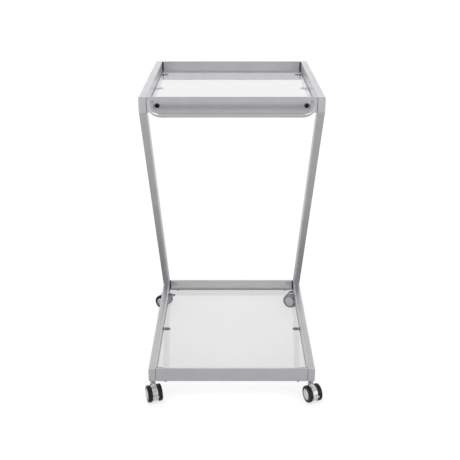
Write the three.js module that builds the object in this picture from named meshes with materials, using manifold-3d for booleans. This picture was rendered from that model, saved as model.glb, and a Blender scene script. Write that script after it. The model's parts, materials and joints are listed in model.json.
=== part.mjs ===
// Spa trolley cart: a Z-shaped steel frame with two glass trays, a bent tube handle and four
// twin-wheel casters. Millimetres, +Z up. The origin is on the floor under the middle of the
// trolley; the handle is on the -Y side and the foot of the uprights on the +Y side.
import * as THREE from 'three';
import { mergeVertices } from 'three/addons/utils/BufferGeometryUtils.js';
import Module from 'manifold-3d';

const wasm = await Module();
wasm.setup();

// ---------------------------------------------------------------- driving dimensions
const WIDTH = 480;
const HEIGHT = 880;
const TOP_FRONT_Y = -228;
const BASE_FRONT_Y = -288;
const REAR_Y = 292;

const RAIL_HEIGHT = 40;
const RAIL_WIDTH = 20;
const CROSS_THICKNESS = 10;
const TUBE_WALL = 1.5;
const LEANING_WALL = 1.8;
const BASE_RAIL_BOTTOM_Z = 64;
const UPRIGHT_FOOT_LENGTH = 36;
const FRONT_SEAM = 1;
const REAR_SEAM = 4;
const WELD_GAP = 0.3;
const VENT_RADIUS = 4;

const GLASS_DROP = 29;
const GLASS_THICKNESS = 5;
const GLASS_CLEARANCE = 2;
const GLASS_CORNER_RADIUS = 4;
const PAD_THICKNESS = 1.5;
const LUG = { length: 22, width: 14, thickness: 3, endInset: 45 };

const HANDLE = { tubeRadius: 7.5, wall: 1.5, halfSpan: 206, reach: 40, drop: 18, bendRadius: 30 };
const HANDLE_END_DROP = 17;
const HANDLE_BOLT = {
  x: 191.5, drop: 21.5, headRadius: 6.2, headHeight: 4, shankRadius: 3, shankLength: 7,
};

const CASTER = { inset: 12, trail: 14, stemHoleRadius: 5.3 };
const WHEEL = {
  radius: 25, innerFace: 8.75, width: 12.5, boreRadius: 2.9, capSeatRadius: 16.3, capSeatDepth: 2.9,
};
// The tyre's round shoulder as [below the tread, in from the face]
const TYRE_SHOULDER = [[2.2, 0], [0.6, 0.8], [0, 2.6]];
const CAP = { radius: 16, dome: 1.2 };
const AXLE = { radius: 2.5, halfLength: 18 };
const HOOD = {
  radius: 23, halfWidth: 8.4, bottomZ: 9, bossRadius: 8.4, topZ: 53.2, wall: 2.4, pocketRadius: 17.6,
};
const STEM = {
  shankRadius: 5, shankTopZ: 86, collarRadius: 6.5, collarBottomZ: 53.5, spindleRadius: 4, tipZ: 37,
};
const PEDAL = {
  startAngle: -41, endAngle: 12, roomBelow: 12, roomAbove: 4.5, innerRadius: 20.9, clearance: 0.7,
  pinAngle: 11, pinOrbit: 18.4,
};
const PEDAL_BARREL = { radius: 2.6, halfLength: 5.6, boreRadius: 1.5, room: 0.6, endRoom: 0.4 };
const TOE_LIP = { angle: 5, halfAngle: 2, orbit: 26.6, radius: 1.1 };
const BRAKE_PIN = { radius: 1.2, halfLength: 7.6, room: 0.2, endRoom: 0.3 };

// Where each caster points at rest: 0 trails towards -Y, positive turns anticlockwise from above.
const CASTERS = [
  { name: 'front_left', side: -1, front: true, swivel: 18, brake: true },
  { name: 'front_right', side: 1, front: true, swivel: 21, brake: true },
  { name: 'rear_left', side: -1, front: false, swivel: -118, brake: false },
  { name: 'rear_right', side: 1, front: false, swivel: -118, brake: false },
];

// Number of flats on a round piece
const ROUND = { wheel: 28, large: 20, small: 12, handle: 10, handleSteps: 40 };

// ---------------------------------------------------------------- colours
const COATED_STEEL = new THREE.MeshStandardMaterial({ color: 0x9c9ca1, roughness: 0.42, metalness: 0.6 });
const HANDLE_STEEL = new THREE.MeshStandardMaterial({ color: 0xa9a9ae, roughness: 0.28, metalness: 0.75 });
const CLEAR_GLASS = new THREE.MeshStandardMaterial({ color: 0xe6eaea, roughness: 0.03, metalness: 0 });
const LUG_STEEL = new THREE.MeshStandardMaterial({ color: 0x8c8c92, roughness: 0.4, metalness: 0.7 });
const BLACK_STEEL = new THREE.MeshStandardMaterial({ color: 0x1a1a1c, roughness: 0.4, metalness: 0.3 });
const ZINC_STEEL = new THREE.MeshStandardMaterial({ color: 0xb4b4b8, roughness: 0.3, metalness: 0.9 });
const SILVER_SHELL = new THREE.MeshStandardMaterial({ color: 0xc6c6c9, roughness: 0.25, metalness: 0.7 });
const SILVER_CAP = new THREE.MeshStandardMaterial({ color: 0xc2c2c6, roughness: 0.4, metalness: 0.4 });
const TYRE = new THREE.MeshStandardMaterial({ color: 0x1b1b1d, roughness: 0.6, metalness: 0 });

// ---------------------------------------------------------------- solids
// Shared vertices are merged, so a geometry becomes one closed surface.
function closed(geometry) {
  const bare = geometry.clone();
  bare.deleteAttribute('normal');
  bare.deleteAttribute('uv');
  return mergeVertices(bare, 1e-4);
}

function solid(geometry) {
  const merged = closed(geometry);
  return new wasm.Manifold(new wasm.Mesh({
    numProp: 3,
    vertProperties: new Float32Array(merged.attributes.position.array),
    triVerts: new Uint32Array(merged.index.array),
  }));
}

function geometryOf(manifold) {
  const mesh = manifold.getMesh();
  const geometry = new THREE.BufferGeometry();
  geometry.setAttribute('position', new THREE.BufferAttribute(new Float32Array(mesh.vertProperties), 3));
  geometry.setIndex(new THREE.BufferAttribute(new Uint32Array(mesh.triVerts), 1));
  geometry.computeVertexNormals();
  return geometry;
}

// The body with every tool cut away from it
function cut(body, ...tools) {
  return geometryOf(tools.reduce((rest, tool) => rest.subtract(solid(tool)), solid(body)));
}

function boxBetween([x0, y0, z0], [x1, y1, z1]) {
  return new THREE.BoxGeometry(x1 - x0, y1 - y0, z1 - z0)
    .translate((x0 + x1) / 2, (y0 + y1) / 2, (z0 + z1) / 2);
}

// A cylinder along 'x', 'y' or 'z' between two coordinates on that axis
function rod(axis, radius, from, to, [x, y, z], sides = ROUND.small) {
  const rodGeometry = new THREE.CylinderGeometry(radius, radius, to - from, sides);
  if (axis === 'x') rodGeometry.rotateZ(-Math.PI / 2);
  if (axis === 'z') rodGeometry.rotateX(Math.PI / 2);
  const middle = (from + to) / 2;
  return rodGeometry.translate(
    axis === 'x' ? middle : x,
    axis === 'y' ? middle : y,
    axis === 'z' ? middle : z,
  );
}

// A turned piece: the profile lists [radius, distance along the axis]
function turned(profile, sides) {
  return new THREE.LatheGeometry(profile.map(([r, a]) => new THREE.Vector2(r, a)), sides);
}

// A prism across the trolley: the outline lists [y, z], and the prism fills x0 to x1
function prismAcross(shape, x0, x1, curveSegments = 8) {
  return new THREE.ExtrudeGeometry(shape, { depth: x1 - x0, bevelEnabled: false, curveSegments })
    .rotateY(Math.PI / 2)
    .rotateX(Math.PI / 2)
    .translate(x0, 0, 0);
}

const trolley = new THREE.Group();

function add(parent, name, geometry, material) {
  const mesh = new THREE.Mesh(geometry, material);
  mesh.name = name;
  parent.add(mesh);
  return mesh;
}

// ---------------------------------------------------------------- frame
const HALF_WIDTH = WIDTH / 2;
const RAIL_INNER_X = HALF_WIDTH - RAIL_WIDTH;
const TOP_RAIL_BOTTOM_Z = HEIGHT - RAIL_HEIGHT;
const BASE_RAIL_TOP_Z = BASE_RAIL_BOTTOM_Z + RAIL_HEIGHT;
const STEM_X = HALF_WIDTH - RAIL_WIDTH / 2;
const FRONT_STEM_Y = BASE_FRONT_Y + CASTER.inset;
const REAR_STEM_Y = REAR_Y - CASTER.inset;

// A side rail is a closed rectangular tube, built for the right side and placed on either
function sideRail(frontY, bottomZ, ...holes) {
  const outer = boxBetween([RAIL_INNER_X, frontY, bottomZ], [HALF_WIDTH, REAR_Y, bottomZ + RAIL_HEIGHT]);
  const inner = boxBetween(
    [RAIL_INNER_X + TUBE_WALL, frontY + TUBE_WALL, bottomZ + TUBE_WALL],
    [HALF_WIDTH - TUBE_WALL, REAR_Y - TUBE_WALL, bottomZ + RAIL_HEIGHT - TUBE_WALL],
  );
  return cut(outer, inner, ...holes);
}

function topSideRail() {
  const ventY = TOP_FRONT_Y + UPRIGHT_FOOT_LENGTH / 2;
  const vent = rod('z', VENT_RADIUS, TOP_RAIL_BOTTOM_Z - 1, TOP_RAIL_BOTTOM_Z + 3, [STEM_X, ventY, 0]);
  return sideRail(TOP_FRONT_Y, TOP_RAIL_BOTTOM_Z, vent);
}

function baseSideRail() {
  const ventY = REAR_Y - UPRIGHT_FOOT_LENGTH / 2;
  const vent = rod('z', VENT_RADIUS, BASE_RAIL_TOP_Z - 3, BASE_RAIL_TOP_Z + 1, [STEM_X, ventY, 0]);
  const stemHoles = [FRONT_STEM_Y, REAR_STEM_Y].map((y) => rod(
    'z', CASTER.stemHoleRadius, BASE_RAIL_BOTTOM_Z - 1, BASE_RAIL_BOTTOM_Z + 3, [STEM_X, y, 0],
  ));
  return sideRail(BASE_FRONT_Y, BASE_RAIL_BOTTOM_Z, vent, ...stemHoles);
}

// The upright is an open-ended tube that leans from the top rail's front end to the base's rear end.
// A level cut goes through more of its leaning walls than their own thickness.
function slantedPrism(inset, overrun, x0, x1) {
  const top = TOP_RAIL_BOTTOM_Z - WELD_GAP;
  const bottom = BASE_RAIL_TOP_Z + WELD_GAP;
  const lean = (REAR_Y - UPRIGHT_FOOT_LENGTH - TOP_FRONT_Y) / (top - bottom);
  const yAt = (frontY, z) => frontY + (top - z) * lean;
  const low = bottom - overrun;
  const high = top + overrun;
  const frontY = TOP_FRONT_Y + inset;
  const rearY = TOP_FRONT_Y + UPRIGHT_FOOT_LENGTH - inset;
  const outline = [[frontY, low], [rearY, low], [rearY, high], [frontY, high]];
  return prismAcross(new THREE.Shape(outline.map(([y, z]) => new THREE.Vector2(yAt(y, z), z))), x0, x1);
}

function upright() {
  const outer = slantedPrism(0, 0, RAIL_INNER_X, HALF_WIDTH);
  const inner = slantedPrism(LEANING_WALL, 2, RAIL_INNER_X + TUBE_WALL, HALF_WIDTH - TUBE_WALL);
  return cut(outer, inner);
}

// A cross rail is a flat tube, open at its ends, between the two side rails
function crossRail(frontY, bottomZ, seam, ...holes) {
  const halfLength = RAIL_INNER_X - seam;
  const outer = boxBetween(
    [-halfLength, frontY, bottomZ],
    [halfLength, frontY + CROSS_THICKNESS, bottomZ + RAIL_HEIGHT],
  );
  const inner = boxBetween(
    [-halfLength - 1, frontY + TUBE_WALL, bottomZ + TUBE_WALL],
    [halfLength + 1, frontY + CROSS_THICKNESS - TUBE_WALL, bottomZ + RAIL_HEIGHT - TUBE_WALL],
  );
  return cut(outer, inner, ...holes);
}

function mirrored(geometry) {
  const copy = geometry.clone().scale(-1, 1, 1);
  const index = copy.index.array;
  for (let i = 0; i < index.length; i += 3) [index[i], index[i + 1]] = [index[i + 1], index[i]];
  copy.computeVertexNormals();
  return copy;
}

for (const [side, place] of [['right', (g) => g], ['left', mirrored]]) {
  add(trolley, `${side}_top_side_rail`, place(topSideRail()), COATED_STEEL);
  add(trolley, `${side}_upright`, place(upright()), COATED_STEEL);
  add(trolley, `${side}_base_side_rail`, place(baseSideRail()), COATED_STEEL);
}

const HANDLE_BOLT_Z = HEIGHT - HANDLE_BOLT.drop;
const boltHoles = [-1, 1].map((side) => rod(
  'y', HANDLE_BOLT.shankRadius + WELD_GAP, TOP_FRONT_Y - 1, TOP_FRONT_Y + 3,
  [side * HANDLE_BOLT.x, 0, HANDLE_BOLT_Z],
));
const REAR_CROSS_Y = REAR_Y - CROSS_THICKNESS;
for (const [name, frontY, bottomZ, seam, holes] of [
  ['top_front_rail', TOP_FRONT_Y, TOP_RAIL_BOTTOM_Z, FRONT_SEAM, boltHoles],
  ['top_rear_rail', REAR_CROSS_Y, TOP_RAIL_BOTTOM_Z, REAR_SEAM, []],
  ['base_front_rail', BASE_FRONT_Y, BASE_RAIL_BOTTOM_Z, FRONT_SEAM, []],
  ['base_rear_rail', REAR_CROSS_Y, BASE_RAIL_BOTTOM_Z, REAR_SEAM, []],
]) {
  add(trolley, name, crossRail(frontY, bottomZ, seam, ...holes), COATED_STEEL);
}

// ---------------------------------------------------------------- glass shelves and their lugs
// The glass lies in the tray, a little below the rail tops, on pads on the lugs.
function glassShelf(frontY) {
  const halfX = RAIL_INNER_X - GLASS_CLEARANCE;
  const y0 = frontY + CROSS_THICKNESS + GLASS_CLEARANCE;
  const y1 = REAR_CROSS_Y - GLASS_CLEARANCE;
  const r = GLASS_CORNER_RADIUS;
  const outline = new THREE.Shape()
    .moveTo(-halfX + r, y0)
    .lineTo(halfX - r, y0)
    .absarc(halfX - r, y0 + r, r, -Math.PI / 2, 0)
    .absarc(halfX - r, y1 - r, r, 0, Math.PI / 2)
    .absarc(-halfX + r, y1 - r, r, Math.PI / 2, Math.PI)
    .absarc(-halfX + r, y0 + r, r, Math.PI, Math.PI * 1.5);
  return closed(new THREE.ExtrudeGeometry(outline, {
    depth: GLASS_THICKNESS, bevelEnabled: false, curveSegments: 4,
  }));
}

// A lug is a flat tongue with a round tip, on the inner face of a side rail; it points along +X here
function lug() {
  const r = LUG.width / 2;
  const outline = new THREE.Shape()
    .moveTo(0, -r)
    .lineTo(LUG.length - r, -r)
    .absarc(LUG.length - r, 0, r, -Math.PI / 2, Math.PI / 2)
    .lineTo(0, r);
  return closed(new THREE.ExtrudeGeometry(outline, {
    depth: LUG.thickness, bevelEnabled: false, curveSegments: 10,
  }));
}

for (const [tray, frontY, railTopZ] of [
  ['top', TOP_FRONT_Y, HEIGHT],
  ['base', BASE_FRONT_Y, BASE_RAIL_TOP_Z],
]) {
  const glassBottomZ = railTopZ - GLASS_DROP - GLASS_THICKNESS;
  const glass = add(trolley, `${tray}_glass_shelf`, glassShelf(frontY), CLEAR_GLASS);
  glass.position.z = glassBottomZ;
  const lugTopZ = glassBottomZ - PAD_THICKNESS;
  const stations = [
    ['front', frontY + CROSS_THICKNESS + LUG.endInset],
    ['middle', (frontY + REAR_Y) / 2],
    ['rear', REAR_CROSS_Y - LUG.endInset],
  ];
  for (const [station, y] of stations) {
    for (const [side, sign] of [['left', -1], ['right', 1]]) {
      const piece = add(trolley, `${tray}_${side}_${station}_lug`, lug(), LUG_STEEL);
      piece.position.set(sign * (RAIL_INNER_X - WELD_GAP), y, lugTopZ - LUG.thickness);
      piece.rotation.z = sign > 0 ? Math.PI : 0;
    }
  }
}

// ---------------------------------------------------------------- handle
// One bent tube: two short legs come forward and down from the front rail, and a straight bar
// joins them through round bends. The path lies in one plane, which tilts down towards the front.
class HandlePath extends THREE.Curve {
  constructor(overrun) {
    super();
    const legLength = Math.hypot(HANDLE.reach, HANDLE.drop);
    this.out = new THREE.Vector3(0, -HANDLE.reach / legLength, -HANDLE.drop / legLength);
    this.root = new THREE.Vector3(0, TOP_FRONT_Y, HEIGHT - HANDLE_END_DROP);
    this.leg = legLength - HANDLE.bendRadius + overrun;
    this.overrun = overrun;
    this.bend = HANDLE.bendRadius * Math.PI / 2;
    this.bar = 2 * (HANDLE.halfSpan - HANDLE.bendRadius);
    this.total = 2 * (this.leg + this.bend) + this.bar;
  }

  // The point at arc length s, as [across, outwards]
  flat(s) {
    const half = s > this.total / 2;
    const along = half ? this.total - s : s;
    const sign = half ? 1 : -1;
    if (along < this.leg) return [sign * HANDLE.halfSpan, along - this.overrun];
    const bendStart = this.leg - this.overrun;
    if (along < this.leg + this.bend) {
      const angle = (along - this.leg) / HANDLE.bendRadius;
      return [
        sign * (HANDLE.halfSpan - HANDLE.bendRadius * (1 - Math.cos(angle))),
        bendStart + HANDLE.bendRadius * Math.sin(angle),
      ];
    }
    const inBar = along - this.leg - this.bend;
    return [sign * (this.bar / 2 - inBar), bendStart + HANDLE.bendRadius];
  }

  getPoint(t, target = new THREE.Vector3()) {
    const [across, outwards] = this.flat(t * this.total);
    return target.copy(this.root).addScaledVector(this.out, outwards).setX(across);
  }
}

function tubeAlong(path, radius, sides) {
  const ring = Array.from({ length: sides }, (_, i) => {
    const angle = 2 * Math.PI * i / sides;
    return new THREE.Vector2(radius * Math.cos(angle), radius * Math.sin(angle));
  });
  return new THREE.ExtrudeGeometry(new THREE.Shape(ring), {
    extrudePath: path, steps: ROUND.handleSteps, bevelEnabled: false,
  });
}

function handle() {
  const outer = tubeAlong(new HandlePath(8), HANDLE.tubeRadius, ROUND.handle);
  const inner = tubeAlong(new HandlePath(10), HANDLE.tubeRadius - HANDLE.wall, ROUND.handle);
  const behindRailFace = boxBetween(
    [-HALF_WIDTH, TOP_FRONT_Y - WELD_GAP, TOP_RAIL_BOTTOM_Z - 20],
    [HALF_WIDTH, TOP_FRONT_Y + 30, HEIGHT + 20],
  );
  return cut(outer, inner, behindRailFace);
}

add(trolley, 'handle', handle(), HANDLE_STEEL);

// A black button-head bolt: the head stands on the front rail, the shank goes through its front wall
function handleBolt() {
  const { headRadius, headHeight, shankRadius, shankLength } = HANDLE_BOLT;
  return closed(turned([
    [0, -shankLength], [shankRadius, -shankLength], [shankRadius, 0], [headRadius, 0],
    [headRadius, headHeight * 0.45], [headRadius * 0.8, headHeight * 0.85],
    [headRadius * 0.4, headHeight], [0, headHeight],
  ], ROUND.small));
}

for (const [side, sign] of [['left', -1], ['right', 1]]) {
  const bolt = add(trolley, `handle_${side}_bolt`, handleBolt(), BLACK_STEEL);
  bolt.rotation.x = Math.PI;
  bolt.position.set(sign * HANDLE_BOLT.x, TOP_FRONT_Y - WELD_GAP, HANDLE_BOLT_Z);
}

// ---------------------------------------------------------------- casters
// A caster is built around its swivel axis; its wheels trail towards -Y on a fixed axle along X.
const AXLE_AT = [0, -CASTER.trail, WHEEL.radius];
const ABOVE_FRAME_Z = BASE_RAIL_BOTTOM_Z - WELD_GAP;

function casterStem() {
  return closed(turned([
    [0, STEM.tipZ], [STEM.spindleRadius, STEM.tipZ], [STEM.spindleRadius, STEM.collarBottomZ],
    [STEM.collarRadius, STEM.collarBottomZ], [STEM.collarRadius, ABOVE_FRAME_Z],
    [STEM.shankRadius, ABOVE_FRAME_Z], [STEM.shankRadius, STEM.shankTopZ], [0, STEM.shankTopZ],
  ], ROUND.small).rotateX(Math.PI / 2));
}

// A point on a circle about the axle: 0 degrees is in front of it, 90 above it
function aroundAxle(radius, degrees) {
  const angle = THREE.MathUtils.degToRad(degrees);
  return [AXLE_AT[1] - radius * Math.cos(angle), AXLE_AT[2] + radius * Math.sin(angle)];
}

function ringSector(innerRadius, outerRadius, fromDegrees, toDegrees, steps) {
  const stepDegrees = (toDegrees - fromDegrees) / steps;
  const angles = Array.from({ length: steps + 1 }, (_, i) => fromDegrees + stepDegrees * i);
  const outerEdge = angles.map((a) => aroundAxle(outerRadius, a));
  const innerEdge = angles.map((a) => aroundAxle(innerRadius, a)).reverse();
  return new THREE.Shape([...outerEdge, ...innerEdge].map(([y, z]) => new THREE.Vector2(y, z)));
}

const [PIN_Y, PIN_Z] = aroundAxle(PEDAL.pinOrbit, PEDAL.pinAngle);

// The hood is a silver shell between the wheels, open below, with a boss for the stem
function casterHood(hasBrake) {
  const disc = rod('x', HOOD.radius, -HOOD.halfWidth, HOOD.halfWidth, AXLE_AT, ROUND.wheel);
  const boss = rod('z', HOOD.bossRadius, AXLE_AT[2], HOOD.topZ, [0, 0, 0], ROUND.large);
  const belowHood = boxBetween([-50, -60, -5], [50, 60, HOOD.bottomZ]);
  const pocketHalf = HOOD.halfWidth - HOOD.wall;
  const pocket = rod('x', HOOD.pocketRadius, -pocketHalf, pocketHalf, AXLE_AT, ROUND.large);
  const axleBoss = rod('x', AXLE.radius + HOOD.wall, -pocketHalf - 1, pocketHalf + 1, AXLE_AT);
  const stemBoss = rod('z', STEM.spindleRadius + HOOD.wall, AXLE_AT[2] + 4, HOOD.topZ - 2, [0, 0, 0]);
  const axleBore = rod('x', AXLE.radius + WELD_GAP, -20, 20, AXLE_AT);
  const stemBore = rod('z', STEM.spindleRadius + WELD_GAP, STEM.tipZ - 2, HOOD.topZ + 2, [0, 0, 0]);
  let shell = solid(disc).add(solid(boss)).subtract(solid(pocket)).add(solid(axleBoss)).add(solid(stemBoss))
    .subtract(solid(belowHood)).subtract(solid(axleBore)).subtract(solid(stemBore));
  if (hasBrake) {
    const stepRadius = PEDAL.innerRadius - PEDAL.clearance;
    const stepStart = PEDAL.startAngle - PEDAL.roomBelow;
    const stepEnd = PEDAL.endAngle + PEDAL.roomAbove;
    const step = ringSector(stepRadius, HOOD.radius + 3, stepStart, stepEnd, 10);
    const notchRadius = PEDAL_BARREL.radius + PEDAL_BARREL.room;
    const notchHalf = PEDAL_BARREL.halfLength + PEDAL_BARREL.endRoom;
    const notch = rod('x', notchRadius, -notchHalf, notchHalf, [0, PIN_Y, PIN_Z]);
    const pinReach = BRAKE_PIN.halfLength + BRAKE_PIN.endRoom;
    const pinBore = rod('x', BRAKE_PIN.radius + BRAKE_PIN.room, -pinReach, pinReach, [0, PIN_Y, PIN_Z]);
    shell = shell.subtract(solid(prismAcross(step, -HOOD.halfWidth - 1, HOOD.halfWidth + 1)))
      .subtract(solid(notch)).subtract(solid(pinBore));
  }
  return geometryOf(shell);
}

// The pedal is a curved flap in front of the hood, on a barrel that turns about its pin. A lip
// stands out from it for the toe and reaches a little in front of the tyres.
function brakePedal() {
  const flap = ringSector(PEDAL.innerRadius, HOOD.radius, PEDAL.startAngle, PEDAL.endAngle, 8);
  const { radius, halfLength, boreRadius } = PEDAL_BARREL;
  const barrel = rod('x', radius, -halfLength, halfLength, [0, PIN_Y, PIN_Z]);
  const bore = rod('x', boreRadius, -halfLength - 1, halfLength + 1, [0, PIN_Y, PIN_Z]);
  const flapHalf = HOOD.halfWidth - 0.2;
  const lipFrom = TOE_LIP.angle - TOE_LIP.halfAngle;
  const lipTo = TOE_LIP.angle + TOE_LIP.halfAngle;
  const web = ringSector(PEDAL.innerRadius + 0.5, TOE_LIP.orbit, lipFrom, lipTo, 2);
  const [lipY, lipZ] = aroundAxle(TOE_LIP.orbit, TOE_LIP.angle);
  const lip = rod('x', TOE_LIP.radius, -flapHalf, flapHalf, [0, lipY, lipZ]);
  const pieces = [prismAcross(web, -flapHalf, flapHalf), lip, barrel].map(solid);
  const whole = pieces.reduce((sum, piece) => sum.add(piece), solid(prismAcross(flap, -flapHalf, flapHalf)));
  return geometryOf(whole.subtract(solid(bore)));
}

// A wheel: solid tyre and web with a bore for the axle and a seat for the cap in its outer face
function wheel() {
  const { radius, width, boreRadius, capSeatRadius, capSeatDepth } = WHEEL;
  const webEnd = width - capSeatDepth;
  const innerShoulder = TYRE_SHOULDER.map(([below, inset]) => [radius - below, inset]);
  const outerShoulder = TYRE_SHOULDER.map(([below, inset]) => [radius - below, width - inset]).reverse();
  return closed(turned([
    [boreRadius, 0], ...innerShoulder, ...outerShoulder, [capSeatRadius, width],
    [capSeatRadius, webEnd], [boreRadius, webEnd], [boreRadius, 0],
  ], ROUND.wheel));
}

// A domed silver cap that closes the outer face of a wheel and hides the axle's end
function wheelCap() {
  const back = WHEEL.width - WHEEL.capSeatDepth + WELD_GAP;
  const rim = WHEEL.width;
  return closed(turned([
    [0, back], [CAP.radius, back], [CAP.radius, rim], [CAP.radius * 0.86, rim + CAP.dome * 0.7],
    [CAP.radius * 0.45, rim + CAP.dome], [0, rim + CAP.dome],
  ], ROUND.large));
}

for (const { name, side, front, swivel, brake } of CASTERS) {
  const caster = new THREE.Group();
  caster.position.set(side * STEM_X, front ? FRONT_STEM_Y : REAR_STEM_Y, 0);
  caster.rotation.z = THREE.MathUtils.degToRad(swivel);
  trolley.add(caster);
  add(caster, `${name}_stem`, casterStem(), ZINC_STEEL);
  add(caster, `${name}_hood`, casterHood(brake), SILVER_SHELL);
  const axle = rod('x', AXLE.radius, -AXLE.halfLength, AXLE.halfLength, AXLE_AT);
  add(caster, `${name}_axle`, closed(axle), ZINC_STEEL);
  for (const [wheelSide, sign] of [['left', -1], ['right', 1]]) {
    const hub = new THREE.Group();
    hub.position.set(sign * WHEEL.innerFace, AXLE_AT[1], AXLE_AT[2]);
    hub.rotation.z = -sign * Math.PI / 2;
    caster.add(hub);
    add(hub, `${name}_${wheelSide}_wheel`, wheel(), TYRE);
    add(hub, `${name}_${wheelSide}_cap`, wheelCap(), SILVER_CAP);
  }
  if (brake) {
    const pin = rod('x', BRAKE_PIN.radius, -BRAKE_PIN.halfLength, BRAKE_PIN.halfLength, [0, PIN_Y, PIN_Z]);
    add(caster, `${name}_brake_pedal`, brakePedal(), SILVER_SHELL);
    add(caster, `${name}_brake_pin`, closed(pin), ZINC_STEEL);
  }
}

export default trolley;
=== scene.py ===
import json
import math

import bmesh
import bpy
import numpy as np
from mathutils import Matrix, Vector


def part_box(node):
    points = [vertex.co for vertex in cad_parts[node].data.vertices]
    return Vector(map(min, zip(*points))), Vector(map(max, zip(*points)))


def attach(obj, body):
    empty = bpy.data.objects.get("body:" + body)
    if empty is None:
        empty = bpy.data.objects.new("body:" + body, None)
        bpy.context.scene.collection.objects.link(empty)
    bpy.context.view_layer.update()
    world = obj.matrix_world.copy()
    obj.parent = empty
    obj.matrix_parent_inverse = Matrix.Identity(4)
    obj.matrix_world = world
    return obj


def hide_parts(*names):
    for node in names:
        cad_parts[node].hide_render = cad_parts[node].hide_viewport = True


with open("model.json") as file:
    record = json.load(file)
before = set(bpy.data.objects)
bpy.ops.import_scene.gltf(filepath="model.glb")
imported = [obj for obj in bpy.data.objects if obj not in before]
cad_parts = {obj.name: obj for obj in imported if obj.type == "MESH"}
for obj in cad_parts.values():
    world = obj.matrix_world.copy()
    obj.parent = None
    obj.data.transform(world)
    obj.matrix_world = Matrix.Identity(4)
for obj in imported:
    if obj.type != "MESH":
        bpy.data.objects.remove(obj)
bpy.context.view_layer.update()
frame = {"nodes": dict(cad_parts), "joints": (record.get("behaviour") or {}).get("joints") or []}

MM = 0.001
AXIS_X, AXIS_Y = 0, 1
SIDES = {"left": -1, "right": 1}
TRAYS = ("top", "base")
ENDS = ("front", "rear")
STATIONS = ("front", "middle", "rear")
CORNERS = ("front_left", "front_right", "rear_left", "rear_right")

# ---------------------------------------------------------------- dimensions
SAME_POINT = 1e-7  # points closer than this become one

RAIL_CORNER = 2.4 * MM
CROSS_CORNER = 1.7 * MM
RAIL_END_ROUND = 0.7 * MM
LEAST_CORNER = 0.4  # share of a tube's corner radius that is left at its very end
UPRIGHT_STRETCH = 1.2  # the leaning tube's level section is this much longer than its square one
UPRIGHT_STEPS = 12
WELD_RADIUS = 1.5 * MM
WELD_SINK = 0.8 * MM
WELD_PITCH = 2.6 * MM
WELD_STEP = WELD_PITCH / 4
WELD_RIPPLE = 0.1
WELD_SIDES = 8
PLUG_INSET = 1.2 * MM
PLUG_REACH = 1 * MM
PLUG_SINK = 0.1 * MM
PLUG_CORNER = 1 * MM
PLUG_END_ROUND = 0.1 * MM

GLASS_ARRIS = 0.6 * MM
GLASS_CORNER = 4 * MM
PAD_RADIUS = 5 * MM
PAD_PROFILE = [(0.94, 0), (1, 0.25), (1, 0.75), (0.9, 1)]  # shares of its radius and height
PAD_SIDES = 24
LUG_EDGE = 0.5 * MM
LUG_WELD_RADIUS = 0.8 * WELD_RADIUS
LUG_WELD_CORNER = 0.6  # share of half the lug's thickness

TUBE_RADIUS = 7.5 * MM
TUBE_SIDES = 40
HANDLE_BEND = 30 * MM
HANDLE_REACH = 40 * MM
HANDLE_DROP = 18 * MM
HANDLE_END_DROP = 17 * MM
HANDLE_SINK = 1.5 * MM
HANDLE_STEPS = {"leg": 4, "bend": 20, "bar": 12}
HANDLE_WELD_OUT = 0.2 * MM
HANDLE_WELD_SIDES = 48

BOLT = {"radius": 6.2 * MM, "height": 4 * MM, "shank": 4 * MM}
BOLT_GAP = 0.1 * MM
SCREW = {"radius": 5 * MM, "height": 2.5 * MM, "shank": 3 * MM}
SCREW_X = 192 * MM
# A button head's outline up to its rim as (radius, height), and the radius of its flat top, in
# shares of the head's own
HEAD_RIM = [(0.5, 0), (0.96, 0), (1, 0.08), (1, 0.2)]
HEAD_FLAT = 0.55
HEAD_SIDES = 48
DOME_STEPS = 8
HEX_ACROSS = 0.42  # half the socket's width over the head's radius
HEX_SOCKET = [(1, 1.08), (0.93, 1), (0.4, 1)]  # (height, width) from the socket's mouth down

# The caster's own drawing is in millimetres about its stem, with the axle along X. Half is half
# of a length, orbit is how far from the axle, and angles are degrees about the axle from its front.
AXLE_Y, AXLE_Z = -14, 25
AXLE_HOLE = 2.8
HOOD = {"radius": 23, "half": 8.4, "round": 2.6, "bottom": 9, "top": 53.2, "boss": 8.4}
HOOD_POCKET = {"radius": 17.6, "half": 6}
HOOD_FILLET = 3.5
HOOD_STEP = 0.6  # of the grid that the hood is skinned on
HOOD_MARGIN = 1  # of the grid behind the hood
AXLE_BOSS = {"radius": 5, "half": 8}
STEM_BOSS = {"radius": 6.4, "middle": 40, "half": 11}
STEM_HOLE = {"radius": 4.3, "bottom": 35}
PEDAL = {"inner": 20.9, "outer": 23, "half": 8.1, "from": -41, "to": 12, "edge": 0.5}
PEDAL_ROOM = {"below": 12, "above": 4.5, "behind": 0.7}  # in the hood: degrees, degrees, mm
PEDAL_GRID = {"front": 2, "back": 13, "below": 17, "above": 9}
PEDAL_STEP = 0.4
TOE_LIP = {"angle": 5, "orbit": 27, "radius": 1.5, "half": 9.5, "round": 0.7}
LIP_WEB = {"half": 0.8, "short": 0.6, "sink": 0.5}  # joins the lip to the flap
PEDAL_PIN = {"orbit": 18.4, "angle": 11, "barrel": 2.6, "half": 5.6, "bore": 1.5}
BARREL_ROOM = {"round": 0.6, "end": 0.4}
PIN_HOLE = {"radius": 1.4, "half": 7.9}
# The low bars on the hood, as (angle, half length), and their rings, as (lift, inset)
HOOD_BARS = [(27, 4.0), (36, 5.2), (45, 5.2), (54, 4.0)]
BAR_RINGS = [(-0.6, 0), (0.22, 0), (0.4675, 0.15), (0.55, 0.4)]
BAR_HALF_WIDTH = 0.8
BAR_SIDES = 24

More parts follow.
